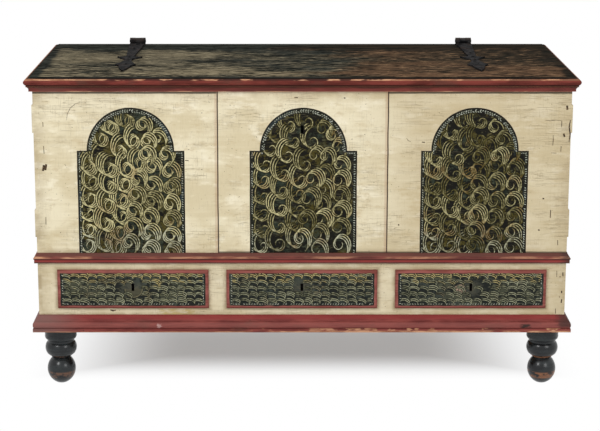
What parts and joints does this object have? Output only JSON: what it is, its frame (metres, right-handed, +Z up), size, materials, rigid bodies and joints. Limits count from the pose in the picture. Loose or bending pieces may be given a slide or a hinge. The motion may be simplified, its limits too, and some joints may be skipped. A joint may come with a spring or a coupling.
{
  "type": "mule chest",
  "caption": "Lidded blanket chest over a row of lipped drawers on turned feet, dovetailed and moulded, with painted arches on the front and strap hinges on the lid.",
  "frame": {"origin": "on the floor, under the middle of the whole object's box", "axes": "+Z up, -Y out of the front, +X to the right of someone who faces the front"},
  "size_m": [1.286, 0.5624, 0.769],
  "materials": {
    "front_paint": "aged cream paint with dark painted arches",
    "side_paint": "aged cream paint, plain",
    "lower_paint": "aged cream paint, plain",
    "drawer_paint": "dark combed paint inside a red border",
    "red_paint": "worn iron-red paint",
    "lid_paint": "weathered dark green paint, worn to the wood in streaks",
    "foot_paint": "dark semi-gloss paint, worn on the ridges",
    "pine": "bare aged pine",
    "iron": "forged, dark, slightly rusted"
  },
  "bodies": {
    "carcase": {"back_lower": "pine", "back_upper": "pine", "base_moulding_front": "red_paint", "base_moulding_left": "red_paint", "base_moulding_right": "red_paint", "chest_floor": "pine", "chest_lock": "iron", "drawer_guides": "pine", "dust_board": "pine", "foot_back_left": "foot_paint", "foot_back_right": "foot_paint", "foot_blocks": "pine", "foot_front_left": "foot_paint", "foot_front_right": "foot_paint", "front_board": "front_paint", "hinge_leaf_left": "iron", "hinge_leaf_right": "iron", "hinge_pins": "iron", "muntin_left": "lower_paint", "muntin_right": "lower_paint", "partition_left": "pine", "partition_right": "pine", "rail_bottom": "lower_paint", "rail_top": "lower_paint", "side_left": "side_paint", "side_right": "side_paint", "stiles": "lower_paint", "waist_moulding_front": "red_paint", "waist_moulding_left": "red_paint", "waist_moulding_right": "red_paint"},
    "lid": {"hinge_strap_left": "iron", "hinge_strap_right": "iron", "lid_board": "lid_paint", "lid_cornice_front": "red_paint", "lid_cornice_left": "red_paint", "lid_cornice_right": "red_paint", "lid_staple": "iron"},
    "bolt_chest": {"chest_bolt": "iron"},
    "drawer_left": {"drawer_left_back": "pine", "drawer_left_bottom": "pine", "drawer_left_front": "drawer_paint", "drawer_left_lock": "iron", "drawer_left_side_left": "pine", "drawer_left_side_right": "pine"},
    "bolt_left": {"drawer_left_bolt": "iron"},
    "drawer_middle": {"drawer_middle_back": "pine", "drawer_middle_bottom": "pine", "drawer_middle_front": "drawer_paint", "drawer_middle_lock": "iron", "drawer_middle_side_left": "pine", "drawer_middle_side_right": "pine"},
    "bolt_middle": {"drawer_middle_bolt": "iron"},
    "drawer_right": {"drawer_right_back": "pine", "drawer_right_bottom": "pine", "drawer_right_front": "drawer_paint", "drawer_right_lock": "iron", "drawer_right_side_left": "pine", "drawer_right_side_right": "pine"},
    "bolt_right": {"drawer_right_bolt": "iron"}
  },
  "joints": [
    {"name": "lid_hinge", "type": "hinge", "parent": "carcase", "child": "lid", "pos_m": [0, 0.27265, 0.7605], "axis": [-1, 0, 0], "range_deg": [0, 100]},
    {"name": "drawer_left_slide", "type": "slide", "parent": "carcase", "child": "drawer_left", "axis": [0, -1, 0], "range_m": [0, 0.4]},
    {"name": "drawer_middle_slide", "type": "slide", "parent": "carcase", "child": "drawer_middle", "axis": [0, -1, 0], "range_m": [0, 0.4]},
    {"name": "drawer_right_slide", "type": "slide", "parent": "carcase", "child": "drawer_right", "axis": [0, -1, 0], "range_m": [0, 0.4]},
    {"name": "bolt_left_slide", "type": "slide", "parent": "drawer_left", "child": "bolt_left", "axis": [0, 0, 1], "range_m": [0, 0.008]},
    {"name": "bolt_middle_slide", "type": "slide", "parent": "drawer_middle", "child": "bolt_middle", "axis": [0, 0, 1], "range_m": [0, 0.008]},
    {"name": "bolt_right_slide", "type": "slide", "parent": "drawer_right", "child": "bolt_right", "axis": [0, 0, 1], "range_m": [0, 0.008]},
    {"name": "bolt_chest_slide", "type": "slide", "parent": "carcase", "child": "bolt_chest", "axis": [-1, 0, 0], "range_m": [0, 0.014]}
  ]
}
